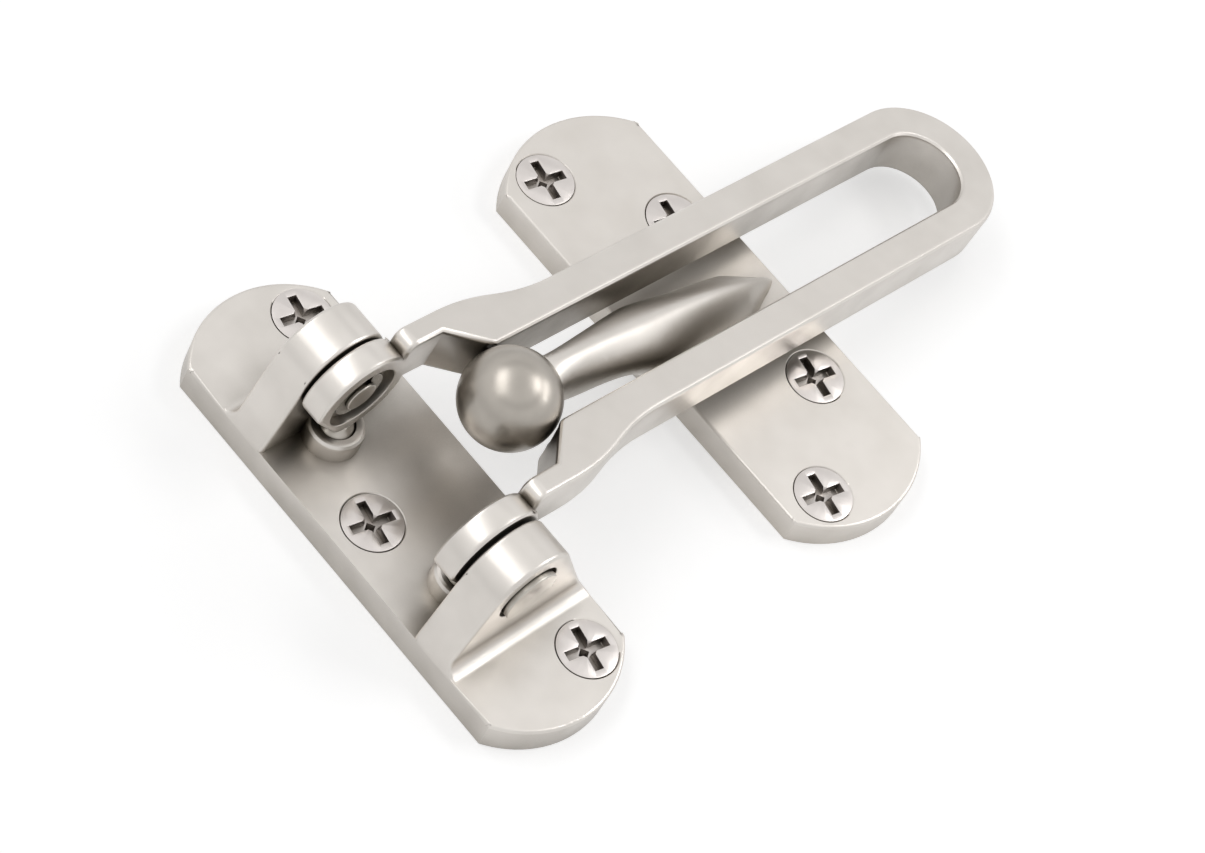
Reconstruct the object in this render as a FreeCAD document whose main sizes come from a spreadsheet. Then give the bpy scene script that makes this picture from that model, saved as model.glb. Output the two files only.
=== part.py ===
"""Swing-bar door guard: a hinged U-shaped bar that folds over a ball on a horn.

Frame: the origin is the middle of the hinge plate's back face, +X runs from the hinge
plate to the catch plate, +Y along the hinge pins and +Z out of the plates.
All lengths are millimetres.
"""
import FreeCAD, Part
import math
import os
import re
import Sketcher
from FreeCAD import Placement, Rotation, Vector

doc = FreeCAD.newDocument("door_guard")

# ---------------------------------------------------------------- driving dimensions
SIZES = {
    "Hinge plate": {
        "hinge_plate_width": 26.4,
        "wing_straight": 9.6,           # each ear's outer face to the plate's corner
        "hinge_plate_rise": 6.4,        # how far each end bulges past its corners
        "hinge_plate_thick": 4.9,
        "plate_edge_round": 0.5,
    },
    "Ears": {
        "ear_gap": 33.6,                # between the ears' inner faces
        "ear_thick": 6.6,
        "ear_wall": 2.6,                # ear round the pin head's recess
        "ear_root_round": 2.2,          # fillet where the ear's outer face meets the plate
        "ear_edge_round": 0.6,
        "axis_back": 2.5,               # hinge axis behind the plate's middle, towards -X
        "axis_height": 17.2,            # hinge axis above the plates' backs
    },
    "Hinge pins": {
        "pin_radius": 2.5,
        "pin_clearance": 0.05,
        "pin_head_lip": 1.9,            # head radius beyond the shank's
        "pin_head_bevel": 0.4,
        "pin_head_proud": 0.8,          # how far the head stands out of the ear
        "pin_recess_deep": 0.7,
        "pin_recess_margin": 0.5,       # recess radius beyond the head's
        "pin_groove_deep": 0.6,
        "pin_tail": 0.6,                # length of pin past the clip's groove
    },
    "Clips and washers": {
        "clip_thick": 0.8,
        "clip_lip": 1.6,                # clip radius beyond the pin's
        "clip_mouth": 2.6,
        "washer_thick": 0.4,
        "washer_inset": 1.0,            # washer's edge inside the knuckle's flat
        "seat_gap": 0.05,               # between faces that seat on each other
    },
    "Swing bar": {
        "bar_tilt": 6.6,                # degrees, loop end down
        "shoulder_rise": 0.9,           # the bar's top face above the knuckle's round
        "bar_deep": 8.5,                # top face to bottom face
        "bar_half": 12.4,               # outer half width along the slot
        "bar_reach": 120.3,             # hinge axis to the loop's outer end
        "rail_wide": 5.45,              # each long side of the bar
        "loop_wide": 6.2,               # the bar across its round end
        "slot_start": 17.2,             # hinge axis to the points of the keyhole
        "arm_wide": 3.5,                # each arm beside the keyhole
        "key_start": 11.5,              # hinge axis to where the keyhole begins to close
        "root_inset": 0.7,              # arm's side inside the knuckle's end face
        "flare_start": 13.0,
        "flare_end": 33.0,
        "arm_bite": 2.9,                # how far the arm runs into its knuckle
        "shoulder_round": 1.8,
    },
    "Knuckles": {
        "knuckle_radius": 7.9,
        "flat_deep": 1.3,               # detent flat below the knuckle's round
        "recess_wall": 1.0,             # knuckle left between its recess and its flat
        "knuckle_recess_deep": 1.6,
    },
    "Detents": {
        "detent_inset": 2.4,            # plunger's middle inside the knuckle's end face
        "cup_radius": 4.3,
        "cup_room": 1.0,                # cup's rim below the knuckle
        "cup_floor": 1.2,
        "plunger_radius": 2.7,
        "plunger_clearance": 0.05,
        "plunger_long": 3.3,
        "plunger_nose": 0.9,
        "plunger_nose_radius": 1.5,
        "plunger_drop": 0.4,            # nose below the knuckle's round
        "spring_wire": 0.3,             # wire radius
        "spring_radius": 2.05,          # to the wire's centre
        "spring_turns": 4.5,
    },
    "Catch plate": {
        "catch_width": 28.2,
        "catch_straight": 66.0,
        "catch_rise": 6.4,
        "catch_thick": 4.6,
        "catch_offset": 62.7,           # middle of the catch plate from the origin
    },
    "Horn and ball": {
        "ball_offset": 13.1,
        "ball_rise": 4.1,               # middle of the ball above the hinge axis
        "ball_radius": 7.45,
        "ball_relief": 0.3,             # room that the bar leaves round the ball's path
        "neck_radius": 3.05,
        "neck_set": 6.65,               # neck's end face from the middle of the ball
        "horn_floor": 1.0,              # the horn's root stays this far above the plate's back
        "stud_radius": 2.0,
        "stud_clearance": 0.05,
        "stud_in_ball": 6.0,
        "stud_in_neck": 4.6,
    },
    "Screws": {
        "screw_head_radius": 4.6,
        "screw_rim": 0.12,
        "screw_neck_radius": 1.75,
        "screw_neck_below": 0.5,        # the thread starts this far behind the plate
        "screw_radius": 2.0,            # over the thread
        "screw_long": 20.0,
        "screw_point": 3.5,
        "screw_point_radius": 0.3,
        "screw_clearance": 0.25,        # radial, thread to hole
        "head_clearance": 0.08,         # radial, head to countersink
        "cross_half": 3.6,
        "cross_foot_half": 1.2,
        "cross_wide": 1.45,
        "cross_foot_wide": 0.9,
        "cross_deep": 1.9,
        "cross_pit": 1.5,
        "cross_turn": 11.0,             # degrees, clockwise seen from the front
        "hinge_end_screw_along": 7.0,
        "hinge_end_screw_out": 8.1,     # screw's middle outside the ear's outer face
        "hinge_mid_screw_along": 6.4,   # towards -X
        "catch_left_screw_along": 6.7,  # towards -X of the catch plate's middle
        "catch_left_screw_half": 31.8,
        "catch_right_screw_along": 6.8,
        "catch_right_screw_half": 16.2,
    },
}

# Sizes that follow from the ones above, so that what fits together stays together.
FITS = {
    "hinge_plate_straight": "ear_gap + 2 * ear_thick + 2 * wing_straight",
    "hinge_end_screw_half": "ear_gap / 2 + ear_thick + hinge_end_screw_out",
    "pin_head_radius": "pin_radius + pin_head_lip",
    "pin_groove_radius": "pin_radius - pin_groove_deep",
    "clip_radius": "pin_radius + clip_lip",
    "ear_round": "pin_head_radius + pin_recess_margin + ear_wall",
    "knuckle_half": "ear_gap / 2 - washer_thick - 2 * seat_gap",
    "knuckle_flat": "knuckle_radius - flat_deep",
    "knuckle_recess_radius": "knuckle_flat - recess_wall",
    "washer_radius": "knuckle_flat - washer_inset",
    "root_half": "knuckle_half - root_inset",
    "key_half": "root_half - arm_wide",
    "arm_start": "knuckle_radius - arm_bite",
    "bar_top": "knuckle_radius + shoulder_rise",
    "slot_half": "bar_half - rail_wide",
    "slot_reach": "bar_reach - loop_wide",
    "detent_half": "knuckle_half - detent_inset",
    "cup_top": "axis_height - knuckle_radius - cup_room",
    "ball_height": "axis_height + ball_rise",
    "neck_start": "ball_offset + neck_set",
}

# Horn sections from the neck to the leaf-shaped point: distance along +X from the
# origin, top, foot (or the widest level where the horn sits in the plate), half width.
HORN_SECTIONS = (
    ("neck_start + 10.25", "ball_height + 1.9", "ball_height - 8.2", 3.8),
    ("catch_offset - 20.7", 20.1, 7.6, 5.4),
    ("catch_offset - 8.7", 16.4, -6.8, 6.4),
    ("catch_offset + 3.3", 11.2, -2.6, 5.0),
    ("catch_offset + catch_width / 2 - 1.4", "catch_thick + 0.3", 1.1, 1.0),
)
HORN_WORDS = ("along", "top", "foot", "half")

sheet = doc.addObject("Spreadsheet::Sheet", "sizes")
HORN_CELLS = {f"horn_{word}_{number}": value for number, section in enumerate(HORN_SECTIONS)
              for word, value in zip(HORN_WORDS, section)}
row = 1
for group, values in {**SIZES, "Fits": FITS, "Horn sections": HORN_CELLS}.items():
    sheet.set(f"A{row}", group)
    row += 1
    for word, value in values.items():
        sheet.set(f"A{row}", word)
        sheet.set(f"B{row}", f"={value}")
        sheet.setAlias(f"B{row}", word)
        row += 1
doc.recompute()

WORDS = {word for values in (*SIZES.values(), FITS, HORN_CELLS) for word in values}


def size(word):
    """The number in one cell of the sheet."""
    return float(sheet.get(word))


def formula(text):
    """Point each size's word in an expression at its cell."""
    return re.sub(r"[a-z_][a-z_0-9]*", lambda m: f"sizes.{m[0]}" if m[0] in WORDS else m[0], text)


def bind(target, **paths):
    """Bind properties to expressions; a double underscore stands for a dot."""
    for path, text in paths.items():
        target.setExpression(path.replace("__", "."), formula(text))


def place(target, x="0", y="0", z="0", axis=(0, 0, 1), turn="0"):
    """Give an object a placement bound to the sheet."""
    target.Placement = Placement(Vector(), Rotation(Vector(*axis), 1.0))
    bind(target, Placement__Base__x=x, Placement__Base__y=y, Placement__Base__z=z,
         Placement__Rotation__Angle=turn)


# ---------------------------------------------------------------- bodies and sketches
ALONG_X, ALONG_Y = -1, -2      # the sketch's own axes
START, END, CENTRE = 1, 2, 3   # which point of a line or arc


def origin_plane(body, role):
    return next(o for o in body.Origin.OriginFeatures if o.Role == role)


def new_body(label):
    body = doc.addObject("PartDesign::Body", f"{label}_body")
    body.Label = label
    return body


def new_sketch(body, name, role, offset="0"):
    sketch = body.newObject("Sketcher::SketchObject", name)
    sketch.AttachmentSupport = [(origin_plane(body, role), "")]
    sketch.MapMode = "FlatFace"
    bind(sketch, AttachmentOffset__Base__z=offset)
    return sketch


def line(sketch, start, end):
    return sketch.addGeometry(Part.LineSegment(Vector(*start, 0), Vector(*end, 0)))


def arc(sketch, centre, radius, first, last):
    """An arc from angle first to angle last in degrees, anticlockwise."""
    circle = Part.Circle(Vector(*centre, 0), Vector(0, 0, 1), radius)
    return sketch.addGeometry(Part.ArcOfCircle(circle, math.radians(first), math.radians(last)))


def fix(sketch, kind, *args, to=None):
    """Add a constraint, and bind it to an expression if one is given."""
    number = sketch.addConstraint(Sketcher.Constraint(kind, *args))
    if to is not None:
        bind(sketch, **{f"Constraints[{number}]": to})
    return number


def join(sketch, pairs, kind="Coincident"):
    for first, first_point, second, second_point in pairs:
        fix(sketch, kind, first, first_point, second, second_point)


def circle_at(sketch, x, y, radius):
    """A circle at (x, y); the three are expressions, and x or y may be "0"."""
    here = Vector(doc_value(x), doc_value(y), 0)
    number = sketch.addGeometry(Part.Circle(here, Vector(0, 0, 1), doc_value(radius)))
    for word, kind, axis in ((x, "DistanceX", ALONG_Y), (y, "DistanceY", ALONG_X)):
        if word == "0":
            fix(sketch, "PointOnObject", number, CENTRE, axis)
        else:
            fix(sketch, kind, -1, 1, number, CENTRE, doc_value(word), to=word)
    fix(sketch, "Radius", number, doc_value(radius), to=radius)


def doc_value(text):
    """What an expression over the sheet comes to."""
    cell = doc.getObject("reckoner") or doc.addObject("App::FeaturePython", "reckoner")
    if not hasattr(cell, "Result"):
        cell.addProperty("App::PropertyFloat", "Result")
    return float(cell.evalExpression(formula(text)))


def pad(body, sketch, name, length):
    feature = body.newObject("PartDesign::Pad", name)
    feature.Profile = sketch
    bind(feature, Length=length)
    return feature


def pocket(body, sketch, name, length, backwards=False):
    feature = body.newObject("PartDesign::Pocket", name)
    feature.Profile = sketch
    feature.Reversed = backwards
    bind(feature, Length=length)
    return feature


def mirror(body, features):
    """Repeat features on the other side of the body's XZ plane."""
    feature = body.newObject("PartDesign::Mirrored", f"{body.Name}_mirror")
    feature.Originals = features
    feature.MirrorPlane = (origin_plane(body, "XZ_Plane"), [""])
    body.Tip = feature
    doc.recompute()
    return feature


def dress(body, kind, name, wanted, amount):
    """Fillet or chamfer the edges of the body's tip that wanted() picks."""
    base = body.Tip
    edges = [f"Edge{n + 1}" for n, edge in enumerate(base.Shape.Edges) if wanted(edge)]
    feature = body.newObject(f"PartDesign::{kind}", name)
    feature.Base = (base, edges)
    bind(feature, **{"Radius" if kind == "Fillet" else "Size": amount})
    doc.recompute()
    return feature


def near(a, b):
    return abs(a - b) < 1e-4


def level(edge, height):
    """Does the edge lie in the level plane at this height?"""
    box = edge.BoundBox
    return near(box.ZMin, height) and near(box.ZMax, height)


# ---------------------------------------------------------------- plates
def plate_outline(body, width, straight, rise):
    """A rectangle whose two ends bulge into shallow arcs."""
    sketch = new_sketch(body, f"{body.Name}_outline", "XY_Plane")
    half, side, bulge = doc_value(width) / 2, doc_value(straight) / 2, doc_value(rise)
    radius = f"({width}^2 / 4 + {rise}^2) / (2 * {rise})"
    sweep = math.degrees(math.asin(half / doc_value(radius)))
    centre = side + bulge - doc_value(radius)
    right = line(sketch, (half, -side), (half, side))
    far = arc(sketch, (0, centre), doc_value(radius), 90 - sweep, 90 + sweep)
    left = line(sketch, (-half, side), (-half, -side))
    close = arc(sketch, (0, -centre), doc_value(radius), 270 - sweep, 270 + sweep)
    join(sketch, ((right, END, far, START), (far, END, left, START),
                  (left, END, close, START), (close, END, right, START)))
    fix(sketch, "Symmetric", right, START, right, END, ALONG_X)
    fix(sketch, "Symmetric", left, START, left, END, ALONG_X)
    fix(sketch, "Symmetric", right, END, left, START, ALONG_Y)
    fix(sketch, "DistanceX", left, START, right, END, 2 * half, to=width)
    fix(sketch, "DistanceY", right, START, right, END, 2 * side, to=straight)
    fix(sketch, "Radius", far, doc_value(radius), to=radius)
    fix(sketch, "Radius", close, doc_value(radius), to=radius)
    return sketch


def screw_holes(body, places, thick):
    """Clearance holes through a plate, countersunk from the front."""
    sketch = new_sketch(body, f"{body.Name}_holes", "XY_Plane", thick)
    for x, y in places:
        circle_at(sketch, x, y, "screw_radius + screw_clearance")
    pocket(body, sketch, f"{body.Name}_bores", thick)
    doc.recompute()
    bore, height = doc_value("screw_radius + screw_clearance"), doc_value(thick)

    def is_rim(edge):
        curve = edge.Curve
        return level(edge, height) and curve.TypeId == "Part::GeomCircle" and near(curve.Radius, bore)

    dress(body, "Chamfer", f"{body.Name}_sinks", is_rim,
          "screw_head_radius + screw_rim + seat_gap + head_clearance - screw_radius - screw_clearance")


HINGE_SCREWS = (("hinge_end_screw_along", "hinge_end_screw_half"),
                ("hinge_end_screw_along", "-hinge_end_screw_half"),
                ("-hinge_mid_screw_along", "0"))
CATCH_SCREWS = (("-catch_left_screw_along", "catch_left_screw_half"),
                ("-catch_left_screw_along", "-catch_left_screw_half"),
                ("catch_right_screw_along", "catch_right_screw_half"),
                ("catch_right_screw_along", "-catch_right_screw_half"))


def tangent_point(corner, centre, radius, side):
    """Where the line from a corner touches a circle, on its left (1) or right (-1)."""
    reach = math.dist(corner, centre)
    turn = math.atan2(corner[1] - centre[1], corner[0] - centre[0])
    turn += side * math.acos(radius / reach)
    return centre[0] + radius * math.cos(turn), centre[1] + radius * math.sin(turn)


def ear_outline(body):
    """One ear seen along the pin: a rounded top that runs out to the plate's two edges."""
    sketch = new_sketch(body, "ear_outline", "XZ_Plane", "-ear_gap / 2 - ear_thick")
    half, top = size("hinge_plate_width") / 2, size("hinge_plate_thick")
    foot, radius = top / 2, size("ear_round")
    centre = (-size("axis_back"), size("axis_height"))
    right_touch = tangent_point((half, top), centre, radius, 1)
    left_touch = tangent_point((-half, top), centre, radius, -1)
    angles = [math.degrees(math.atan2(p[1] - centre[1], p[0] - centre[0]))
              for p in (right_touch, left_touch)]
    base = line(sketch, (-half, foot), (half, foot))
    right = line(sketch, (half, foot), (half, top))
    right_ramp = line(sketch, (half, top), right_touch)
    crown = arc(sketch, centre, radius, angles[0], angles[1] % 360)
    left_ramp = line(sketch, left_touch, (-half, top))
    left = line(sketch, (-half, top), (-half, foot))
    join(sketch, ((base, END, right, START), (right, END, right_ramp, START),
                  (left_ramp, END, left, START), (left, END, base, START)))
    join(sketch, ((right_ramp, END, crown, START), (crown, END, left_ramp, START)), "Tangent")
    fix(sketch, "Vertical", right)
    fix(sketch, "Vertical", left)
    fix(sketch, "Symmetric", base, START, base, END, ALONG_Y)
    fix(sketch, "DistanceX", base, START, base, END, 2 * half, to="hinge_plate_width")
    fix(sketch, "DistanceY", -1, 1, base, START, foot, to="hinge_plate_thick / 2")
    fix(sketch, "DistanceY", -1, 1, right, END, top, to="hinge_plate_thick")
    fix(sketch, "DistanceY", -1, 1, left, START, top, to="hinge_plate_thick")
    fix(sketch, "DistanceX", crown, CENTRE, -1, 1, -centre[0], to="axis_back")
    fix(sketch, "DistanceY", -1, 1, crown, CENTRE, centre[1], to="axis_height")
    fix(sketch, "Radius", crown, radius, to="ear_round")
    return sketch


def make_hinge_plate():
    body = new_body("hinge_plate")
    outline = plate_outline(body, "hinge_plate_width", "hinge_plate_straight", "hinge_plate_rise")
    pad(body, outline, "hinge_slab", "hinge_plate_thick")
    ear = pad(body, ear_outline(body), "ear", "ear_thick")
    cup_sketch = new_sketch(body, "cup_outline", "XY_Plane", "hinge_plate_thick / 2")
    circle_at(cup_sketch, "-axis_back", "detent_half", "cup_radius")
    cup = pad(body, cup_sketch, "cup", "cup_top - hinge_plate_thick / 2")
    well_sketch = new_sketch(body, "well_outline", "XY_Plane", "cup_top")
    circle_at(well_sketch, "-axis_back", "detent_half", "plunger_radius + plunger_clearance")
    well = pocket(body, well_sketch, "well", "cup_top - cup_floor")
    outer_face = "-ear_gap / 2 - ear_thick"
    bore_sketch = new_sketch(body, "pin_bore_outline", "XZ_Plane", outer_face)
    circle_at(bore_sketch, "-axis_back", "axis_height", "pin_radius + pin_clearance")
    bore = pocket(body, bore_sketch, "pin_bore", "ear_thick", backwards=True)
    recess_sketch = new_sketch(body, "pin_recess_outline", "XZ_Plane", outer_face)
    circle_at(recess_sketch, "-axis_back", "axis_height", "pin_head_radius + pin_recess_margin")
    recess = pocket(body, recess_sketch, "pin_recess", "pin_recess_deep", backwards=True)
    mirror(body, [ear, cup, well, bore, recess])

    top, half = size("hinge_plate_thick"), size("hinge_plate_width") / 2
    ear_inner = size("ear_gap") / 2
    ear_outer = ear_inner + size("ear_thick")
    crown = size("axis_height") + size("ear_round") / 2

    def is_root(edge):
        box = edge.BoundBox
        return level(edge, top) and near(box.YMin, box.YMax) and near(abs(box.YMin), ear_outer)

    def is_crown(edge):
        box = edge.BoundBox
        on_face = near(box.YMin, box.YMax) and (
            near(abs(box.YMin), ear_outer) or near(abs(box.YMin), ear_inner))
        return on_face and box.ZMax > crown and edge.Curve.TypeId == "Part::GeomCircle" \
            and near(edge.Curve.Radius, size("ear_round"))

    def is_end(edge):
        return level(edge, top) and edge.Curve.TypeId == "Part::GeomCircle" \
            and edge.Curve.Radius > half

    dress(body, "Fillet", "ear_roots", is_root, "ear_root_round")
    dress(body, "Fillet", "ear_crowns", is_crown, "ear_edge_round")
    dress(body, "Fillet", "hinge_plate_ends", is_end, "plate_edge_round")
    screw_holes(body, HINGE_SCREWS, "hinge_plate_thick")
    return body


# ---------------------------------------------------------------- turned pieces
def cylinder(name, radius, height, z="0", **where):
    shape = doc.addObject("Part::Cylinder", name)
    bind(shape, Radius=radius, Height=height)
    place(shape, z=z, **where)
    return shape


def stack(label, sections, **where):
    """A turned piece along its own Z: each section is (first radius, last radius, length)."""
    parts, height = [], "0"
    for number, (first, last, length) in enumerate(sections):
        name = f"{label}_section_{number}"
        if first == last:
            shape = cylinder(name, first, length, z=height)
        else:
            shape = doc.addObject("Part::Cone", name)
            bind(shape, Radius1=first, Radius2=last, Height=length)
            place(shape, z=height)
        parts.append(shape)
        height = f"{height} + {length}"
    if len(parts) == 1:
        place(parts[0], **where)
        parts[0].Label = label
        return parts[0]
    whole = doc.addObject("Part::MultiFuse", f"{label}_turned")
    whole.Shapes = parts
    whole.Refine = True
    whole.Label = label
    place(whole, **where)
    return whole


def cut(label, base, tool, **where):
    whole = doc.addObject("Part::Cut", f"{label}_cut")
    whole.Base = base
    whole.Tool = tool
    whole.Label = label
    if where:
        place(whole, **where)
    return whole


def together(name, shapes):
    whole = doc.addObject("Part::MultiFuse", name)
    whole.Shapes = shapes
    return whole


# ---------------------------------------------------------------- hinge hardware
SIDES = (("upper", 1), ("lower", -1))
CLIP_OUTER = "key_half + knuckle_recess_deep - seat_gap"
PIN_HEAD = "pin_head_proud + pin_recess_deep - seat_gap"
PIN_FACE = "ear_gap / 2 + ear_thick + pin_head_proud"


def across(side, from_middle):
    """A placement at a distance from the middle plane whose Z points back at that plane."""
    sign = "" if side > 0 else "-"
    return dict(x="-axis_back", y=f"{sign}({from_middle})", z="axis_height",
                axis=(side, 0, 0), turn="90")


def make_pin(word, side):
    groove = "clip_thick + seat_gap"
    shank = f"{PIN_FACE} - ({PIN_HEAD}) - ({CLIP_OUTER}) - seat_gap / 2"
    return stack(f"hinge_pin_{word}", (
        ("pin_head_radius - pin_head_bevel", "pin_head_radius", "pin_head_bevel"),
        ("pin_head_radius", "pin_head_radius", f"{PIN_HEAD} - pin_head_bevel"),
        ("pin_radius", "pin_radius", shank),
        ("pin_groove_radius", "pin_groove_radius", groove),
        ("pin_radius", "pin_radius", "pin_tail"),
    ), **across(side, PIN_FACE))


def make_clip(word, side):
    label = f"pin_clip_{word}"
    disc = cylinder(f"{label}_disc", "clip_radius", "clip_thick")
    hole = cylinder(f"{label}_hole", "pin_groove_radius + seat_gap", "clip_thick")
    mouth = doc.addObject("Part::Box", f"{label}_mouth")
    bind(mouth, Length="clip_mouth", Width="clip_radius", Height="clip_thick")
    place(mouth, x="-clip_mouth / 2")
    return cut(label, disc, together(f"{label}_tools", [hole, mouth]), **across(side, CLIP_OUTER))


def make_washer(word, side):
    label = f"knuckle_washer_{word}"
    disc = cylinder(f"{label}_disc", "washer_radius", "washer_thick")
    hole = cylinder(f"{label}_hole", "pin_radius + pin_clearance", "washer_thick")
    middle = "(knuckle_half + ear_gap / 2 + washer_thick) / 2"
    return cut(label, disc, hole, **across(side, middle))


PLUNGER_TOP = "axis_height - knuckle_radius - plunger_drop"
SPRING_SPAN = 0.25             # the helix is swept in spans of this many turns
SPRING_FOOT = "cup_floor + seat_gap + spring_wire"
SPRING_HEAD = f"{PLUNGER_TOP} - plunger_long - seat_gap - spring_wire"


def make_plunger(word, side):
    sign = "" if side > 0 else "-"
    return stack(f"detent_plunger_{word}", (
        ("plunger_radius", "plunger_radius", "plunger_long - plunger_nose"),
        ("plunger_radius", "plunger_nose_radius", "plunger_nose"),
    ), x="-axis_back", y=f"{sign}detent_half", z=f"{PLUNGER_TOP} - plunger_long")


def make_spring(word, side):
    label = f"detent_spring_{word}"
    path = doc.addObject("Part::Helix", f"{label}_path")
    bind(path, Radius="spring_radius", Height=f"{SPRING_HEAD} - ({SPRING_FOOT})",
         Pitch=f"({SPRING_HEAD} - ({SPRING_FOOT})) / spring_turns")
    path.SegmentLength = SPRING_SPAN
    wire = doc.addObject("Part::Circle", f"{label}_wire")
    bind(wire, Radius="spring_wire")
    place(wire, x="spring_radius", axis=(1, 0, 0), turn="90")
    coil = doc.addObject("Part::Sweep", f"{label}_coil")
    coil.Sections = [wire]
    coil.Spine = path
    coil.Solid = True
    coil.Frenet = True
    coil.Label = label
    sign = "" if side > 0 else "-"
    place(coil, x="-axis_back", y=f"{sign}detent_half", z=SPRING_FOOT)
    return coil


# ---------------------------------------------------------------- swing bar
def arm_outline(body):
    """Half of the U-shaped bar, from the hinge to the middle of the loop, on the +Y side."""
    sketch = new_sketch(body, "arm_outline", "XY_Plane", "bar_top - bar_deep")
    start, root, outer = size("arm_start"), size("root_half"), size("bar_half")
    key, key_start = size("key_half"), size("key_start")
    slot, slot_start = size("slot_half"), size("slot_start")
    flare_start, flare_end = size("flare_start"), size("flare_end")
    step = "(root_half - bar_half)"
    flare = f"((flare_end - flare_start)^2 + {step}^2) / (4 * {step})"
    bend = doc_value(flare)
    turn = math.degrees(math.asin((flare_end - flare_start) / 2 / bend))
    loop_x, slot_x = size("bar_reach") - outer, size("slot_reach") - slot
    side = line(sketch, (start, root), (flare_start, root))
    bow = arc(sketch, (flare_start, root - bend), bend, 90 - turn, 90)
    dip = arc(sketch, (flare_end, outer + bend), bend, 270 - turn, 270)
    edge = line(sketch, (flare_end, outer), (loop_x, outer))
    loop = arc(sketch, (loop_x, 0), outer, 0, 90)
    tip = line(sketch, (loop_x + outer, 0), (slot_x + slot, 0))
    eye = arc(sketch, (slot_x, 0), slot, 0, 90)
    inner = line(sketch, (slot_x, slot), (slot_start, slot))
    slant = line(sketch, (slot_start, slot), (key_start, key))
    bay = line(sketch, (key_start, key), (start, key))
    end = line(sketch, (start, key), (start, root))
    join(sketch, ((side, END, bow, END), (bow, START, dip, START), (dip, END, edge, START),
                  (edge, END, loop, END), (eye, END, inner, START)), "Tangent")
    join(sketch, ((loop, START, tip, START), (tip, END, eye, START), (inner, END, slant, START),
                  (slant, END, bay, START), (bay, END, end, START), (end, END, side, START)))
    for level_line in (side, tip, inner, bay):
        fix(sketch, "Horizontal", level_line)
    fix(sketch, "Vertical", end)
    for centre in (loop, eye):
        fix(sketch, "PointOnObject", centre, CENTRE, ALONG_X)
    fix(sketch, "PointOnObject", tip, START, ALONG_X)
    fix(sketch, "Radius", bow, bend, to=flare)
    fix(sketch, "Radius", dip, bend, to=flare)
    fix(sketch, "Radius", loop, outer, to="bar_half")
    fix(sketch, "Radius", eye, slot, to="slot_half")
    for piece, point, value in ((side, START, "arm_start"), (side, END, "flare_start"),
                                (tip, START, "bar_reach"), (tip, END, "slot_reach"),
                                (inner, END, "slot_start"), (slant, END, "key_start")):
        fix(sketch, "DistanceX", -1, 1, piece, point, size(value), to=value)
    fix(sketch, "DistanceY", -1, 1, side, START, root, to="root_half")
    fix(sketch, "DistanceY", -1, 1, bay, START, key, to="key_half")
    return sketch


def knuckle_outline(body):
    """A round barrel about the hinge axis with one flat for the detent."""
    sketch = new_sketch(body, "knuckle_outline", "XZ_Plane", "-knuckle_half")
    radius, flat = size("knuckle_radius"), size("knuckle_flat")
    spread = math.degrees(math.acos(flat / radius))
    facing = 225
    barrel = arc(sketch, (0, 0), radius, facing + spread - 360, facing - spread)
    ends = [(radius * math.cos(math.radians(a)), radius * math.sin(math.radians(a)))
            for a in (facing - spread, facing + spread)]
    chord = line(sketch, *ends)
    join(sketch, ((barrel, END, chord, START), (chord, END, barrel, START)))
    join(sketch, ((barrel, CENTRE, -1, 1),))
    fix(sketch, "Radius", barrel, radius, to="knuckle_radius")
    fix(sketch, "Distance", -1, 1, chord, flat, to="knuckle_flat")
    fix(sketch, "Angle", chord, math.radians(-45))
    return sketch


def make_swing_bar():
    body = new_body("swing_bar")
    arm = pad(body, arm_outline(body), "arm", "bar_deep")
    knuckle = pad(body, knuckle_outline(body), "knuckle", "knuckle_half - key_half")
    bore_sketch = new_sketch(body, "knuckle_bore_outline", "XZ_Plane", "-key_half")
    circle_at(bore_sketch, "0", "0", "pin_radius + pin_clearance")
    bore = pocket(body, bore_sketch, "knuckle_bore", "knuckle_half - key_half")
    recess_sketch = new_sketch(body, "knuckle_recess_outline", "XZ_Plane", "-key_half")
    circle_at(recess_sketch, "0", "0", "knuckle_recess_radius")
    recess = pocket(body, recess_sketch, "knuckle_recess", "knuckle_recess_deep")
    mirror(body, [arm, knuckle, bore, recess])

    top, start = size("bar_top"), size("arm_start")

    def is_shoulder(edge):
        box = edge.BoundBox
        return level(edge, top) and near(box.XMin, start) and near(box.XMax, start)

    dress(body, "Fillet", "shoulders", is_shoulder, "shoulder_round")
    path_sketch = new_sketch(body, "ball_path_outline", "XY_Plane")
    reach = "sqrt((axis_back + ball_offset)^2 + (axis_height - ball_height)^2)"
    circle_at(path_sketch, reach, "0", "ball_radius + ball_relief")
    path = body.newObject("PartDesign::Groove", "ball_path")
    path.Profile = path_sketch
    path.ReferenceAxis = (path_sketch, ["V_Axis"])
    path.Angle = 360.0
    doc.recompute()
    place(body, x="-axis_back", z="axis_height", axis=(0, 1, 0), turn="bar_tilt")
    return body


# ---------------------------------------------------------------- catch plate, horn and ball
TOWARDS_X = dict(axis=(0, 1, 0), turn="90")


def horn_section(number, along, top, foot, half):
    """An upright ellipse square to +X."""
    ellipse = doc.addObject("Part::Ellipse", f"horn_section_{number}")
    bind(ellipse, MajorRadius=f"({top} - ({foot})) / 2", MinorRadius=half)
    place(ellipse, x=along, z=f"({top} + ({foot})) / 2", **TOWARDS_X)
    return ellipse


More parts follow.
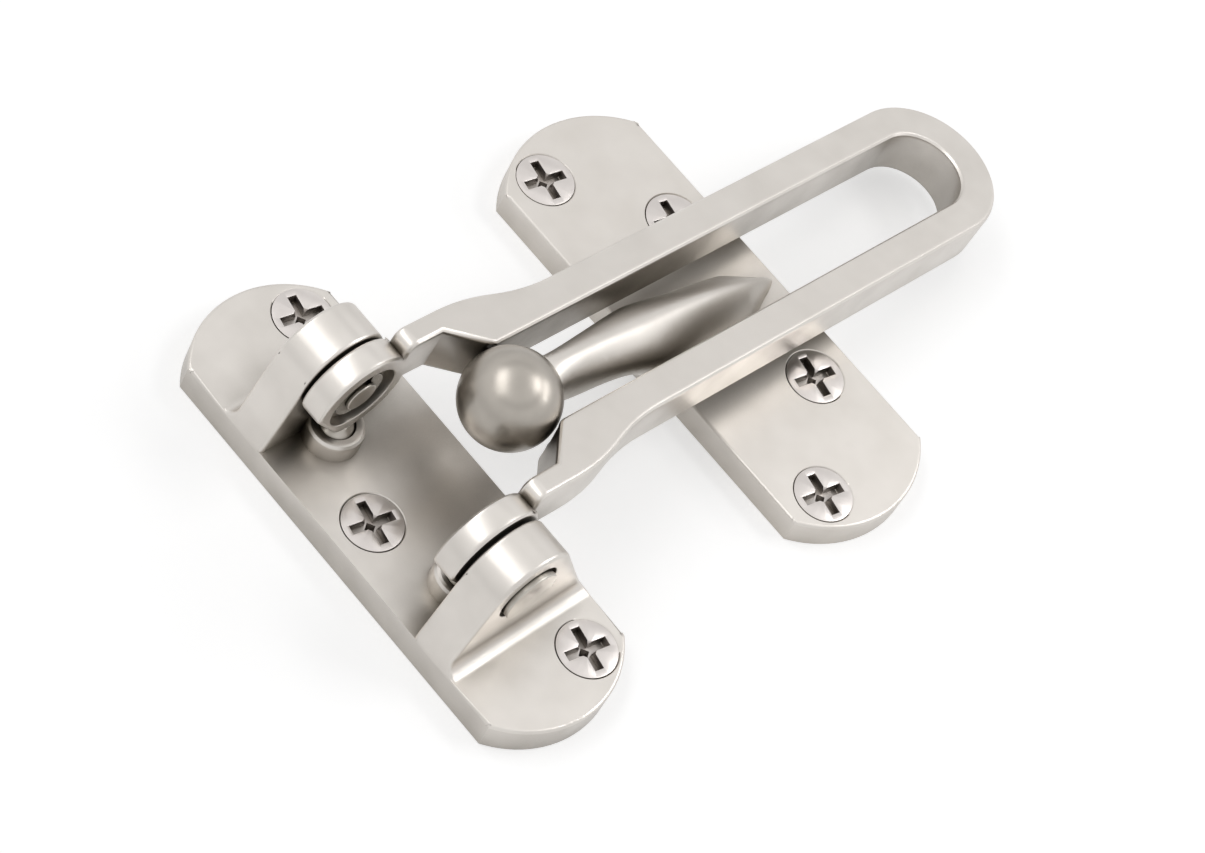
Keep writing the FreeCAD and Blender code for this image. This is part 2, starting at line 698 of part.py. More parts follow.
def make_catch_plate():
    body = new_body("catch_slab")
    outline = plate_outline(body, "catch_width", "catch_straight", "catch_rise")
    pad(body, outline, "catch_plate_slab", "catch_thick")
    doc.recompute()
    top, half = size("catch_thick"), size("catch_width") / 2

    def is_end(edge):
        return level(edge, top) and edge.Curve.TypeId == "Part::GeomCircle" \
            and edge.Curve.Radius > half

    dress(body, "Fillet", "catch_plate_ends", is_end, "plate_edge_round")
    screw_holes(body, CATCH_SCREWS, "catch_thick")
    place(body, x="catch_offset")

    sections = [horn_section("neck", "neck_start + seat_gap", "ball_height + neck_radius * 1.01",
                             "ball_height - neck_radius * 1.01", "neck_radius")]
    for number in range(len(HORN_SECTIONS)):
        words = [f"horn_{word}_{number}" for word in HORN_WORDS]
        sections.append(horn_section(number, *words))
    loft = doc.addObject("Part::Loft", "horn_loft")
    loft.Sections = sections
    loft.Solid = True
    below = doc.addObject("Part::Box", "below_horn")
    bind(below, Length="catch_offset * 2", Width="catch_straight", Height="catch_straight")
    place(below, y="-catch_straight / 2", z="horn_floor - catch_straight")
    horn = cut("horn", loft, below)
    bore = cylinder("neck_bore", "stud_radius + stud_clearance", "stud_in_neck + seat_gap",
                    x="neck_start + seat_gap", z="ball_height", **TOWARDS_X)
    return cut("catch_plate", together("plate_and_horn", [body, horn]), bore)


def make_ball():
    sphere = doc.addObject("Part::Sphere", "ball_sphere")
    bind(sphere, Radius="ball_radius")
    place(sphere, x="ball_offset", z="ball_height")
    seat = cylinder("ball_seat", "neck_radius * 1.1", "ball_radius",
                    x="neck_start", z="ball_height", **TOWARDS_X)
    bore = cylinder("ball_bore", "stud_radius + stud_clearance", "stud_in_ball + ball_radius",
                    x="neck_start - stud_in_ball", z="ball_height", **TOWARDS_X)
    return cut("ball", sphere, together("ball_tools", [seat, bore]))


def make_ball_stud():
    point = "stud_radius / 5"
    long = f"stud_in_ball + stud_in_neck - 2 * ({point})"
    return stack("ball_stud", (
        (f"stud_radius - {point}", "stud_radius", point),
        ("stud_radius", "stud_radius", long),
        ("stud_radius", f"stud_radius - {point}", point),
    ), x="neck_start - stud_in_ball + seat_gap", z="ball_height", **TOWARDS_X)


# ---------------------------------------------------------------- screws
def wing(name, along, aside):
    """One wing of the cross recess: each way is (low, high) at the face, then at the foot."""
    wedge = doc.addObject("Part::Wedge", name)
    bind(wedge, Xmin=along[0], Xmax=along[1], X2min=along[2], X2max=along[3],
         Zmin=aside[0], Zmax=aside[1], Z2min=aside[2], Z2max=aside[3],
         Ymin="0", Ymax="cross_deep")
    place(wedge, axis=(1, 0, 0), turn="90")
    return wedge


def make_screw(label, x, y, top):
    """A countersunk wood screw with a cross recess, its head flush with the plate's top."""
    cone = "screw_head_radius - screw_neck_radius"
    neck_end = f"{top} - seat_gap + screw_neck_below"
    body = stack(f"{label}_blank", (
        ("screw_head_radius", "screw_head_radius", "screw_rim"),
        ("screw_head_radius", "screw_neck_radius", cone),
        ("screw_neck_radius", "screw_neck_radius", f"{neck_end} - screw_rim - ({cone})"),
        ("screw_radius", "screw_radius", f"screw_long - ({neck_end}) - screw_point"),
        ("screw_radius", "screw_point_radius", "screw_point"),
    ))
    long_way = ("-cross_half", "cross_half", "-cross_foot_half", "cross_foot_half")
    short_way = ("-cross_wide / 2", "cross_wide / 2", "-cross_foot_wide / 2", "cross_foot_wide / 2")
    tools = [wing(f"{label}_wing_1", long_way, short_way),
             wing(f"{label}_wing_2", short_way, long_way)]
    pit = doc.addObject("Part::Cone", f"{label}_pit")
    bind(pit, Radius1="cross_pit", Radius2="screw_point_radius", Height="cross_deep + screw_rim")
    cross = together(f"{label}_cross", tools + [pit])
    place(cross, turn="cross_turn")
    return cut(label, body, cross, x=x, y=y, z=f"{top} - seat_gap", axis=(1, 0, 0), turn="180")


# ---------------------------------------------------------------- assembly
nodes = [make_hinge_plate(), make_swing_bar(), make_catch_plate(), make_ball(), make_ball_stud()]
for word, side in SIDES:
    nodes += [make_pin(word, side), make_clip(word, side), make_washer(word, side),
              make_plunger(word, side), make_spring(word, side)]
for number, (x, y) in enumerate(HINGE_SCREWS, 1):
    nodes.append(make_screw(f"hinge_plate_screw_{number}", x, y, "hinge_plate_thick"))
for number, (x, y) in enumerate(CATCH_SCREWS, 1):
    nodes.append(make_screw(f"catch_plate_screw_{number}", f"catch_offset + {x}", y, "catch_thick"))
doc.recompute()

for item in doc.Objects:
    if "Invalid" in item.State or "Error" in item.State:
        raise RuntimeError(f"{item.Name} ({item.Label}) failed: {item.State}")
for node in nodes:
    if node.Shape.isNull() or not node.Shape.isValid() or not node.Shape.Solids:
        raise RuntimeError(f"{node.Label} has no valid solid")

os.makedirs("parts", exist_ok=True)
for node in nodes:
    node.Shape.exportStep(f"parts/{node.Label}.step")
    box = node.Shape.optimalBoundingBox()
    print(f"{node.Label:24s} {len(node.Shape.Solids)} solid {node.Shape.Volume:9.1f} mm3  "
          f"x {box.XMin:7.2f} {box.XMax:7.2f}  y {box.YMin:7.2f} {box.YMax:7.2f}  "
          f"z {box.ZMin:7.2f} {box.ZMax:7.2f}")
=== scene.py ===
import math

import bmesh
import bpy
from mathutils import Euler, Matrix, Vector


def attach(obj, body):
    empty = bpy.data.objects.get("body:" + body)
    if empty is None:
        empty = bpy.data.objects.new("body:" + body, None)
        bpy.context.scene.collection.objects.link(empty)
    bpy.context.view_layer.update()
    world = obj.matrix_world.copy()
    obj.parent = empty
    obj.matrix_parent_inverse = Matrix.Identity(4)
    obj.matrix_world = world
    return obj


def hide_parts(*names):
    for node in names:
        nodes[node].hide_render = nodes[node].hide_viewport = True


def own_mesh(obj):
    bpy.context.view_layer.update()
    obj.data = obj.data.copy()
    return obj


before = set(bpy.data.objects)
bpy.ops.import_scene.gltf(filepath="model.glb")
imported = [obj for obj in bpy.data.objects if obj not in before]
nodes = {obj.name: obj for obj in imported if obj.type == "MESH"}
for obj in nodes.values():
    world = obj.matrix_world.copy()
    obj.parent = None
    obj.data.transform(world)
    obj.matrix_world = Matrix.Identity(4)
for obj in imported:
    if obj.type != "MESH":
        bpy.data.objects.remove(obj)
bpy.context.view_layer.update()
MM = 0.001

# ---------------------------------------------------------------- hinge plate
# The plate on the door frame is one zinc die casting: a slab with two ears for the
# hinge pins and two small cups for the detents. It is tumbled, which rounds its
# corners by half a millimetre, and plated in satin nickel. Three wood screws hold it.


def linear(code):
    """An sRGB hex colour as linear red, green, blue and alpha."""
    parts = [int(code[i:i + 2], 16) / 255 for i in (1, 3, 5)]
    return [c / 12.92 if c <= 0.04045 else ((c + 0.055) / 1.055) ** 2.4 for c in parts] + [1.0]


def add(tree, kind, links=None, **settings):
    """Add a shader node; a setting is a property of the node or one of its inputs."""
    node = tree.nodes.new(kind)
    for name, value in settings.items():
        if hasattr(node, name):
            setattr(node, name, value)
        else:
            node.inputs[name.replace("_", " ")].default_value = value
    for socket, source in (links or {}).items():
        tree.links.new(source, node.inputs[socket])
    return node


def plated(name, colour, shaded, rough, casting=7.0, ripple=0.03, corners=9.0, painted_shade=0.8, grains=0.03):
    """A plated metal: a warm grey with an even, fine sheen, and painted shade that darkens
    its colour in tight corners, where ambient occlusion finds other surfaces near. In
    millimetres, casting is how wide the skin's waves are, ripple how high, and corners how
    far the painted shade reaches. The argument after corners is how strong that painted
    shade is, and grains how far the roughness varies."""
    mat = bpy.data.materials.new(name)
    mat.use_nodes = True
    tree = mat.node_tree
    tree.nodes.clear()
    here = add(tree, "ShaderNodeTexCoord").outputs["Object"]
    # blasting leaves grains of about 0.15 mm, drawn at 0.35 mm so that they show
    grain = add(tree, "ShaderNodeTexNoise", {"Vector": here}, Scale=1 / (0.35 * MM), Detail=2.0)
    # the casting's skin rises and falls over several millimetres
    skin = add(tree, "ShaderNodeTexNoise", {"Vector": here}, Scale=1 / (casting * MM), Detail=2.0)
    rough_fine = add(tree, "ShaderNodeMapRange", {"Value": grain.outputs["Fac"]}, To_Min=-grains, To_Max=grains)
    rough_wide = add(tree, "ShaderNodeMapRange", {"Value": skin.outputs["Fac"]}, From_Min=0.3, From_Max=0.7,
                     To_Min=rough - 0.03, To_Max=rough + 0.04)
    roughness = add(tree, "ShaderNodeMath", {0: rough_fine.outputs[0], 1: rough_wide.outputs[0]}, operation="ADD")
    # the plating's tone drifts a little with the skin, and painted shade darkens it in corners
    tint = add(tree, "ShaderNodeMapRange", {"Value": skin.outputs["Fac"]}, From_Min=0.3, From_Max=0.7,
               To_Min=0.0, To_Max=0.12)
    # painted shade: ambient occlusion mixes the colour towards the shaded colour in corners and crevices
    corner = add(tree, "ShaderNodeAmbientOcclusion", samples=16, Distance=corners * MM)
    depth = add(tree, "ShaderNodeMapRange", {"Value": corner.outputs["AO"]}, From_Min=0.8, From_Max=0.15,
                To_Min=0.0, To_Max=painted_shade)
    tone_and_painted_shade = add(tree, "ShaderNodeMath", {0: tint.outputs[0], 1: depth.outputs[0]}, operation="ADD", use_clamp=True)
    metal = add(tree, "ShaderNodeMix", {"Factor": tone_and_painted_shade.outputs[0]}, data_type="RGBA")
    metal.inputs[6].default_value = linear(colour)
    metal.inputs[7].default_value = linear(shaded)
    waves = add(tree, "ShaderNodeBump", {"Height": skin.outputs["Fac"]}, Strength=1.0, Distance=ripple * MM)
    bump = add(tree, "ShaderNodeBump", {"Height": grain.outputs["Fac"], "Normal": waves.outputs["Normal"]},
               Strength=0.05, Distance=0.012 * MM)
    looks = {"Base Color": metal.outputs[2], "Normal": bump.outputs["Normal"], "Roughness": roughness.outputs[0]}
    bsdf = add(tree, "ShaderNodeBsdfPrincipled", looks, Metallic=1.0)
    add(tree, "ShaderNodeOutputMaterial", {"Surface": bsdf.outputs["BSDF"]})
    return mat


def finished(shape, name, body, material, stands_for, sharp=35):
    """Make the object, ride it on its body, and let it stand for its CAD node."""
    mesh = bpy.data.meshes.new(name)
    shape.to_mesh(mesh)
    shape.free()
    mesh.shade_smooth()
    mesh.set_sharp_from_angle(angle=math.radians(sharp))
    mesh.materials.append(material)
    piece = bpy.data.objects.new(name, mesh)
    bpy.context.scene.collection.objects.link(piece)
    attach(piece, body)
    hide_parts(stands_for)
    return piece


def tumbled(node, body, material, rounds, shaped=None):
    """The node's shape with its outer edges rounded. Each round is (millimetres, test),
    and the test takes an edge's middle in millimetres."""
    coarse, weld = 25, 0.002 * MM
    shape = bmesh.new()
    shape.from_mesh(nodes[node].data)
    bmesh.ops.remove_doubles(shape, verts=shape.verts, dist=weld)
    bmesh.ops.dissolve_limit(shape, angle_limit=math.radians(0.3), verts=shape.verts, edges=shape.edges)
    if shaped:
        shaped(shape)
    for size, wanted in rounds:
        edges = [e for e in shape.edges if e.is_manifold and e.is_convex
                 and e.calc_face_angle() > math.radians(coarse)
                 and wanted((e.verts[0].co + e.verts[1].co) / 2 / MM)]
        bmesh.ops.bevel(shape, geom=edges, affect="EDGES", offset=size * MM, segments=3, profile=0.5,
                        material=-1, clamp_overlap=False, loop_slide=False)
        bmesh.ops.remove_doubles(shape, verts=shape.verts, dist=weld)
    piece = finished(shape, node + "_casting", body, material, node, coarse)
    level = piece.modifiers.new("even_faces", "WEIGHTED_NORMAL")
    level.keep_sharp = True
    return piece


# in millimetres, with Y measured out from the middle
AXIS_X, AXIS_Z = -2.5, 17.2            # the hinge axis
KNUCKLE_Y = 13.9                       # the knuckles' and the cups' middle
EAR_FOOT, EAR_BACK = 16.5, 24.0        # where an ear stands
ROOT_INNER, ROOT_OUTER = 16.7, 23.5    # the stretch that its sloping root takes
ROUND_END = 32.6                       # where both plates' round ends start
CUP_BORE, CUP_REACH = 3.5, 4.5         # around a cup's middle: past its bore, and past its wall
PIN_REACH, KNUCKLE_REACH = 5.3, 6.0    # around the hinge axis: past the holes and recesses
EDGE_ROUND, CUP_ROUND, HOLE_ROUND = 0.45, 0.9, 0.2
nickel = plated("satin_nickel_casting", "#E1DCD6", "#5E574A", 0.35, corners=16.0, painted_shade=0.85)


def cup_rim(at):
    """The outer edge of a cup's mouth, but not the bore's."""
    across, along = abs(at.x - AXIS_X), abs(abs(at.y) - KNUCKLE_Y)
    return at.z > 7.5 and math.hypot(across, along) > CUP_BORE and across < CUP_REACH and abs(at.y) < 18.3


def pin_hole(at):
    """The edges of a pin's bore and of the recess for its head."""
    return at.z > 9.5 and math.hypot(at.x - AXIS_X, at.z - AXIS_Z) < PIN_REACH


def plate_edge(at):
    """The hinge plate's long top edges."""
    return 4.8 < at.z < 5 and abs(at.x) > 13.1


def ear_edge(at):
    """The ears' outlines above the plate."""
    return 5.2 < at.z and abs(at.x) < 13.1 and EAR_FOOT < abs(at.y) < EAR_BACK and not pin_hole(at)


# the long edges' rounds stop at the ears' roots
tumbled("hinge_plate", "hinge_base", nickel,
        [(CUP_ROUND, cup_rim),
         (EDGE_ROUND, lambda at: plate_edge(at) and abs(at.y) < ROOT_INNER),
         (EDGE_ROUND, lambda at: plate_edge(at) and ROOT_OUTER < abs(at.y) < ROUND_END),
         (EDGE_ROUND, ear_edge),
         (HOLE_ROUND, pin_hole)])

# ---------------------------------------------------------------- catch plate
# The plate on the door, with the horn that carries the ball, is a second casting in
# the same finish. The horn runs out of the plate's middle in one smooth curve.
# the horn's material carries a lighter, shorter-reaching painted shade in its corners than the other castings
horn_nickel = plated("satin_nickel_horn_casting", "#E1DCD6", "#857D70", 0.41, corners=12.0, painted_shade=0.7)
CATCH_X = 62.7                         # the catch plate's middle
# the horn's sections in millimetres: (distance along, top, foot)
HORN = ((19.8, 24.35, 18.25), (30.0, 23.2, 13.1), (42.0, 20.1, 7.6), (54.0, 16.4, -6.8),
        (66.0, 11.2, -2.6), (75.4, 4.9, 1.1))
LEAF_START, LEAF_END = 66.0, 76.6      # the leaf point


def leaf_point(shape):
    """Draw the horn's back up to a soft ridge, and its root in to a sharp leaf point on
    the plate. The ridge grows over the horn's first 12 mm."""
    horn_tip = HORN[0][0]
    for v in shape.verts:
        x, y, z = v.co / MM
        if z > 4.7 and abs(y) < 7:
            for (near, *low), (far, *high) in zip(HORN, HORN[1:]):
                if near < x <= far:
                    part = (x - near) / (far - near)
                    top, foot = (a + (b - a) * part for a, b in zip(low, high))
                    level = (2 * z - top - foot) / (top - foot)
                    if level > 0:
                        v.co.y *= 1 - 0.4 * min(1, (x - horn_tip) / 12) * min(level, 1) ** 2
        if LEAF_START < x < LEAF_END and abs(y) < 6.5 and z > 4.55:
            v.co.y *= 1 - 0.65 * ((x - LEAF_START) / (LEAF_END - LEAF_START)) ** 0.9


def catch_edge(at):
    """The catch plate's long top edges."""
    return 4.5 < at.z < 4.7 and abs(at.x - CATCH_X) > 14.0 and abs(at.y) < ROUND_END


tumbled("catch_plate", "catch", horn_nickel, [(EDGE_ROUND, catch_edge)], shaped=leaf_point)

# ---------------------------------------------------------------- ball
# The ball that the bar's slot passes over is turned steel, nickel plated like the
# castings but smoother. A short threaded stud holds it against the end of the horn.
ball_nickel = plated("satin_nickel_ball", "#B8B2AA", "#5A5346", 0.31, casting=4.0, ripple=0.005, grains=0.004)
for node in ("ball", "ball_stud"):
    nodes[node].data.materials.clear()
    nodes[node].data.materials.append(ball_nickel)

# ---------------------------------------------------------------- swing bar
# The U-shaped bar is a casting too. Its long edges are rounded by the polishing wheel,
# and its two knuckles turn on the hinge pins.


def knuckle_hole(at):
    """The edges of a knuckle's bore and of its recess."""
    return math.hypot(at.x - AXIS_X, at.z - AXIS_Z) < KNUCKLE_REACH


tumbled("swing_bar", "swing_bar", nickel,
        [(0.75, lambda at: not knuckle_hole(at)), (0.25, knuckle_hole)])

# ---------------------------------------------------------------- hinge pins
# Two turned steel pins, nickel plated, go in from the ears' outer faces. Each has a
# flat head with a rounded rim, and a groove near its other end for the clip.


def turned(profile, steps=72):
    """A closed turned shape about Z from its outline, a list of (radius, height)."""
    shape = bmesh.new()
    points = [shape.verts.new((r * MM, 0, z * MM)) for r, z in profile]
    edges = [shape.edges.new(pair) for pair in zip(points, points[1:])]
    bmesh.ops.spin(shape, geom=points + edges, cent=(0, 0, 0), axis=(0, 0, 1), angle=2 * math.pi,
                   steps=steps, use_merge=True)
    bmesh.ops.remove_doubles(shape, verts=shape.verts, dist=1e-7)
    bmesh.ops.recalc_face_normals(shape, faces=shape.faces)
    return shape


def eased(shape, size, segments, sharp, wanted=lambda edge: True):
    """Round a shape's outer edges that are sharper than this many degrees."""
    edges = [e for e in shape.edges if e.is_manifold and e.is_convex
             and e.calc_face_angle() > math.radians(sharp) and wanted(e)]
    bmesh.ops.bevel(shape, geom=edges, affect="EDGES", offset=size * MM, segments=segments, profile=0.5,
                    material=-1, clamp_overlap=True)


SIDES = (("upper", 1), ("lower", -1))
HEAD_FACE = 24.2                       # the pin head's face, out from the middle
HEAD, SHAFT, GROOVE = 4.4, 2.5, 1.9    # radii, in millimetres
pin_nickel = plated("nickel_plated_pin", "#C9C4BC", "#5E574A", 0.3, casting=3.0, ripple=0.005, grains=0.004)
for word, side in SIDES:
    pin = turned([(0, 0), (HEAD, 0), (HEAD, -1.45), (SHAFT, -1.45), (SHAFT, -10.525), (GROOVE, -10.525),
                  (GROOVE, -11.375), (SHAFT, -11.375), (SHAFT, -11.975), (0, -11.975)])
    eased(pin, 0.22, 3, sharp=30)
    place = Matrix.Translation((AXIS_X * MM, HEAD_FACE * MM * side, AXIS_Z * MM))
    turn = Matrix.Rotation(math.radians(-90 * side), 4, "X")
    bmesh.ops.transform(pin, matrix=place @ turn, verts=pin.verts)
    finished(pin, f"hinge_pin_{word}_turned", "hinge_base", pin_nickel, f"hinge_pin_{word}")

# ---------------------------------------------------------------- clips and washers
# A spring steel clip snaps into each pin's groove, inside the knuckle's recess, and a
# black nylon washer keeps the knuckle from rubbing on the ear.
clip_steel = plated("bright_spring_steel", "#B9B6B0", "#4A463E", 0.22, casting=3.0, ripple=0.0)
nylon = bpy.data.materials.new("black_nylon")
nylon.use_nodes = True
tree = nylon.node_tree
tree.nodes.clear()
here = add(tree, "ShaderNodeTexCoord").outputs["Object"]
# pressed from sheet: a fine matt face, with a texture of about 0.2 mm
matt = add(tree, "ShaderNodeTexNoise", {"Vector": here}, Scale=1 / (0.2 * MM), Detail=2.0)
level = add(tree, "ShaderNodeMapRange", {"Value": matt.outputs["Fac"]}, To_Min=0.45, To_Max=0.6)
face = add(tree, "ShaderNodeBump", {"Height": matt.outputs["Fac"]}, Strength=0.3, Distance=0.02 * MM)
skin = add(tree, "ShaderNodeBsdfPrincipled", {"Roughness": level.outputs[0], "Normal": face.outputs[0]},
           Base_Color=linear("#1E1D1B"), IOR=1.53)
add(tree, "ShaderNodeOutputMaterial", {"Surface": skin.outputs[0]})
for word, _ in SIDES:
    tumbled(f"pin_clip_{word}", "hinge_base", clip_steel, [(0.12, lambda at: True)])
    washer = nodes[f"knuckle_washer_{word}"].data
    washer.materials.clear()
    washer.materials.append(nylon)

# ---------------------------------------------------------------- detents
# In a cup under each knuckle, a coil spring of 0.6 mm wire carries a small steel
# plunger. The spring is wound from one wire circle.
WIRE, COIL = 0.3, 2.05                 # radii, in millimetres
SPRING_FOOT, SPRING_RISE = 1.58, 3.64
TURNS, COIL_STEPS = 4.5, 144
for word, side in SIDES:
    tumbled(f"detent_plunger_{word}", f"plunger_{word}", pin_nickel, [(0.2, lambda at: True)])
    coil = bmesh.new()
    bmesh.ops.create_circle(coil, cap_ends=True, segments=12, radius=WIRE * MM)
    bmesh.ops.rotate(coil, matrix=Matrix.Rotation(math.radians(90), 3, "X"), cent=(0, 0, 0), verts=coil.verts)
    bmesh.ops.translate(coil, vec=(COIL * MM, 0, SPRING_FOOT * MM), verts=coil.verts)
    bmesh.ops.spin(coil, geom=coil.verts[:] + coil.edges[:] + coil.faces[:], cent=(0, 0, 0), axis=(0, 0, 1),
                   dvec=(0, 0, SPRING_RISE / COIL_STEPS * MM), angle=2 * math.pi * TURNS, steps=COIL_STEPS)
    bmesh.ops.recalc_face_normals(coil, faces=coil.faces)
    bmesh.ops.translate(coil, vec=(AXIS_X * MM, KNUCKLE_Y * MM * side, 0), verts=coil.verts)
    spring = finished(coil, f"detent_spring_{word}_coil", "hinge_base", clip_steel,
                      f"detent_spring_{word}")
    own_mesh(spring)

# ---------------------------------------------------------------- wood screws
# Seven countersunk steel wood screws with a cross recess, brighter than the castings
# because they are only zinc flashed and clear coated. The thread is rolled.
screw_steel = plated("bright_zinc_screw", "#E2DCD8", "#4C463C", 0.33, casting=3.0, ripple=0.01)


HINGE_SCREWS = ((7.0, 31.5), (7.0, -31.5), (-6.4, 0.0))
CATCH_SCREWS = ((56.0, 31.8), (56.0, -31.8), (69.5, 16.2), (69.5, -16.2))
RECESS_TURN = math.radians(-11)


def cross_recess():
    """The punches that press the cross: two tapering arms, and a four-sided pit at the middle."""
    punches = []
    for quarter in (0, 90):
        arm = bmesh.new()
        bmesh.ops.create_cube(arm, size=1.0)
        bmesh.ops.scale(arm, vec=(7.3 * MM, 1.6 * MM, 2.6 * MM), verts=arm.verts)
        bmesh.ops.scale(arm, vec=(0.9, 0.8, 1.0), verts=[v for v in arm.verts if v.co.z < 0])
        bmesh.ops.translate(arm, vec=(0, 0, -0.2 * MM), verts=arm.verts)
        turn = Matrix.Rotation(math.radians(quarter) + RECESS_TURN, 3, "Z")
        bmesh.ops.rotate(arm, matrix=turn, cent=(0, 0, 0), verts=arm.verts)
        punches.append(arm)
    pit = bmesh.new()
    bmesh.ops.create_cone(pit, segments=4, radius1=0.2 * MM, radius2=1.9 * MM, depth=2.6 * MM,
                          cap_ends=True, cap_tris=False)
    bmesh.ops.rotate(pit, matrix=Matrix.Rotation(RECESS_TURN, 3, "Z"), cent=(0, 0, 0), verts=pit.verts)
    bmesh.ops.translate(pit, vec=(0, 0, -1.29 * MM), verts=pit.verts)
    punches.append(pit)
    return punches


def in_scene(shape, name):
    """A passing object of the shape, for the booleans."""
    mesh = bpy.data.meshes.new(name)
    shape.to_mesh(mesh)
    shape.free()
    thing = bpy.data.objects.new(name, mesh)
    bpy.context.scene.collection.objects.link(thing)
    return thing


def wood_screw(thick):
    """One screw about Z, its head's face at 0, for a plate of this thickness."""
    head, neck, core, long, pitch, steps = 4.6, 1.75, 1.55, 20, 1.6, 28
    blank = turned([(0, 0), (head, 0), (head, -0.12), (neck, -2.97), (neck, -thick - 0.45),
                    (core, -thick - 0.65), (core, -long), (0, -long)])
    # the thread: a sharp wedge wound down the core
    ridge = bmesh.new()
    wedge = ((1.4, 0.9), (1.4, 1.5), (2.0, 1.24), (2.0, 1.16))
    ridge.faces.new([ridge.verts.new((r * MM, 0, (-thick - below) * MM)) for r, below in wedge])
    turns = int((19.3 - thick - 1.5) / pitch)
    bmesh.ops.spin(ridge, geom=ridge.verts[:] + ridge.edges[:] + ridge.faces[:], cent=(0, 0, 0), axis=(0, 0, 1),
                   dvec=(0, 0, -pitch / steps * MM), angle=2 * math.pi * turns, steps=turns * steps)
    bmesh.ops.recalc_face_normals(ridge, faces=ridge.faces)
    whole = in_scene(blank, "screw_blank")
    others = [in_scene(other, "screw_punch") for other in [ridge] + cross_recess()]
    for number, other in enumerate(others):
        join = whole.modifiers.new(f"join_{number}", "BOOLEAN")
        join.operation = "DIFFERENCE" if number else "UNION"
        join.solver = "EXACT"
        join.object = other
    made = bpy.data.meshes.new_from_object(whole.evaluated_get(bpy.context.evaluated_depsgraph_get()))
    shape = bmesh.new()
    shape.from_mesh(made)
    for thing in [whole] + others:
        bpy.data.objects.remove(thing)
    bmesh.ops.remove_doubles(shape, verts=shape.verts, dist=0.001 * MM)
    # the last 3.6 mm draws in to the point
    for v in shape.verts:
        reach = (-v.co.z / MM - 16.4) / 3.6
        if reach > 0:
            v.co.xy *= 1 - 0.88 * reach
    eased(shape, 0.07, 2, sharp=35, wanted=lambda e: min(v.co.z for v in e.verts) > -0.02 * MM)
    return shape


for plate, body, thick, places in (("hinge", "hinge_base", 4.85, HINGE_SCREWS), ("catch", "catch", 4.55, CATCH_SCREWS)):
    master = wood_screw(thick)
    for number, (x, y) in enumerate(places, 1):
        screw = master.copy()
        bmesh.ops.translate(screw, vec=(x * MM, y * MM, thick * MM), verts=screw.verts)
        finished(screw, f"{plate}_screw_{number}_threaded", body, screw_steel,
                 f"{plate}_plate_screw_{number}")
    master.free()

# ---------------------------------------------------------------- studio
# A pale table top under three soft boxes in a white room. The top is just under the
# plates' backs, and the screws' shanks go through it as through a door.
table = bmesh.new()
bmesh.ops.create_grid(table, x_segments=1, y_segments=1, size=3.0)
bmesh.ops.translate(table, verts=table.verts, vec=(0, 0, -0.05 * MM))
mesh = bpy.data.meshes.new("table_top")
table.to_mesh(mesh)
table.free()
floor = bpy.data.objects.new("table_top", mesh)
bpy.context.scene.collection.objects.link(floor)


def seen_level(tree, hidden, glossy, camera):
    """A strength that differs for light on the object, for reflections and for the eye."""
    path = add(tree, "ShaderNodeLightPath")
    mirror = add(tree, "ShaderNodeMath", {0: path.outputs["Is Glossy Ray"], 1: path.outputs["Is Transmission Ray"]},
                 operation="MAXIMUM")
    first = add(tree, "ShaderNodeMapRange", {"Value": mirror.outputs[0]}, To_Min=hidden, To_Max=glossy)
    last = add(tree, "ShaderNodeMapRange", {"Value": path.outputs["Is Camera Ray"], "To Min": first.outputs[0]},
               To_Max=camera)
    return last.outputs[0]


paper = bpy.data.materials.new("white_card")
paper.use_nodes = True
tree = paper.node_tree
tree.nodes.clear()
card = add(tree, "ShaderNodeBsdfDiffuse", Color=linear("#DDDDDD"))
lift = add(tree, "ShaderNodeEmission", {"Strength": seen_level(tree, 0.0, 0.42, 0.5)}, Color=(1, 1, 1, 1))
both = add(tree, "ShaderNodeAddShader", {0: card.outputs[0], 1: lift.outputs[0]})
add(tree, "ShaderNodeOutputMaterial", {"Surface": both.outputs[0]})
mesh.materials.append(paper)

world = bpy.data.worlds.new("white_room")
bpy.context.scene.world = world
world.use_nodes = True
tree = world.node_tree
tree.nodes.clear()
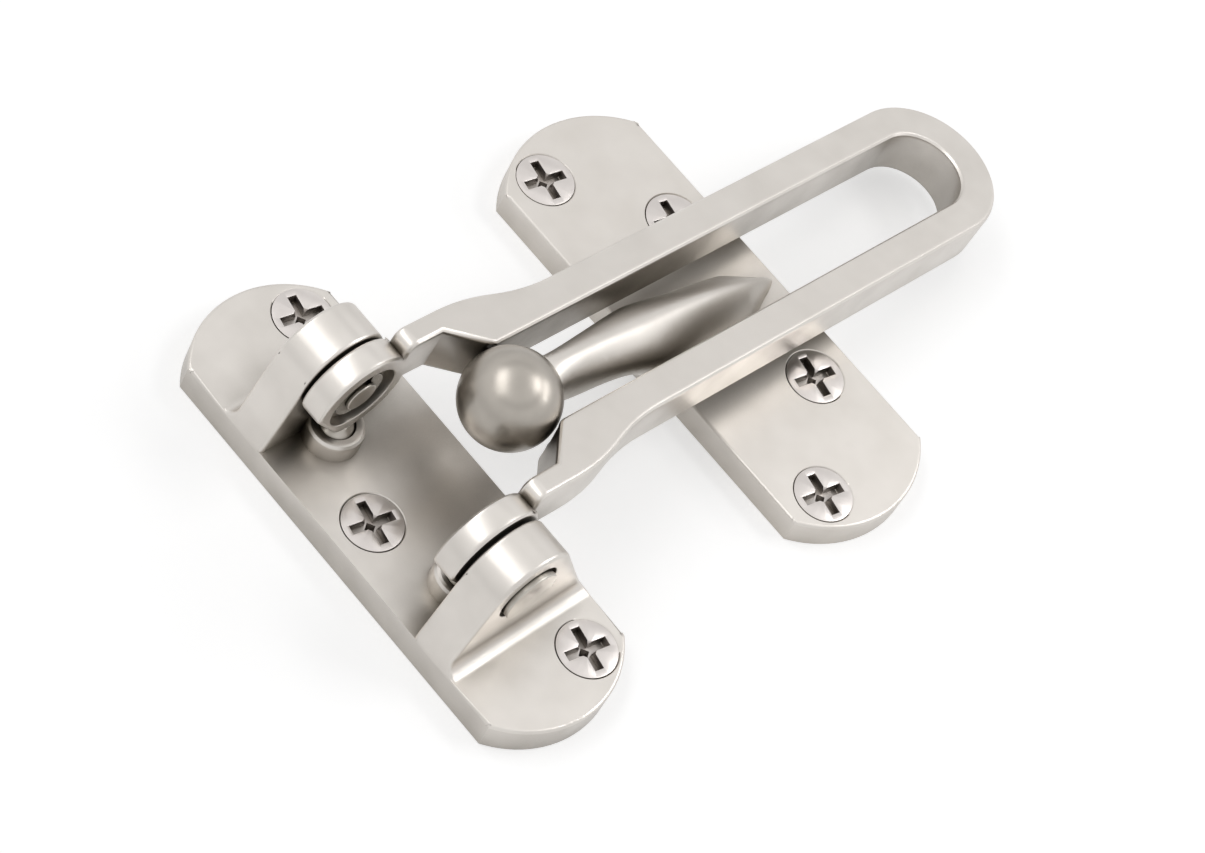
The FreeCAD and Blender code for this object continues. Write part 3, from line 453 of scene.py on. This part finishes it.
# the walls' grey by height, from the level of the table up to straight overhead: a grey
# band where the walls meet the ceiling gives the metal something to reflect
HEIGHTS = ((0.0, 0.7), (0.4, 0.95), (0.53, 1.0), (0.62, 0.6), (0.68, 0.6), (0.76, 1.0), (0.9, 0.95), (0.98, 0.85))
up = add(tree, "ShaderNodeSeparateXYZ", {0: add(tree, "ShaderNodeTexCoord").outputs["Generated"]})
walls = add(tree, "ShaderNodeValToRGB", {"Fac": up.outputs["Z"]})
for place, grey in HEIGHTS:
    stop = walls.color_ramp.elements.new(place)
    stop.color = (grey, grey, grey, 1)
walls.color_ramp.elements.remove(walls.color_ramp.elements[-1])    # the ramp's own white end
path = add(tree, "ShaderNodeLightPath")
room = add(tree, "ShaderNodeMix", {"Factor": path.outputs["Is Camera Ray"], 6: walls.outputs[0]}, data_type="RGBA")
room.inputs[7].default_value = (1, 1, 1, 1)
back = add(tree, "ShaderNodeBackground", {"Color": room.outputs[2], "Strength": seen_level(tree, 0.5, 1.06, 1.0)})
add(tree, "ShaderNodeOutputWorld", {"Surface": back.outputs[0]})


def softbox(name, towards, wide, tall, watts):
    """A rectangular lamp a metre from the part, in this direction from it."""
    middle = Vector((0.03, 0, 0.01))
    lamp = bpy.data.lights.new(name, "AREA")
    lamp.shape = "RECTANGLE"
    lamp.size, lamp.size_y, lamp.energy = wide, tall, watts
    holder = bpy.data.objects.new(name, lamp)
    holder.location = Vector(towards).normalized() + middle
    holder.rotation_euler = (-Vector(towards)).to_track_quat("-Z", "Y").to_euler()
    bpy.context.scene.collection.objects.link(holder)


softbox("key", (-0.36, 0.43, 0.83), 1.0, 0.36, 2.2)
softbox("fill", (0.563, -0.292, 0.773), 0.5, 0.2, 1.3)
softbox("edge_strip", (0.72, -0.5, 0.48), 0.6, 0.1, 1.0)

camera = bpy.data.cameras.new("camera")
camera.lens, camera.sensor_width = 107.43, 36
camera.clip_start = 0.01
eye = bpy.data.objects.new("camera", camera)
eye.location = Vector((-261.86, -122.47, 411.66)) * MM
eye.rotation_euler = Euler([math.radians(a) for a in (33.6355, -18.8472, -42.5263)])
bpy.context.scene.collection.objects.link(eye)
bpy.context.scene.camera = eye
bpy.context.scene.view_settings.view_transform = "Standard"
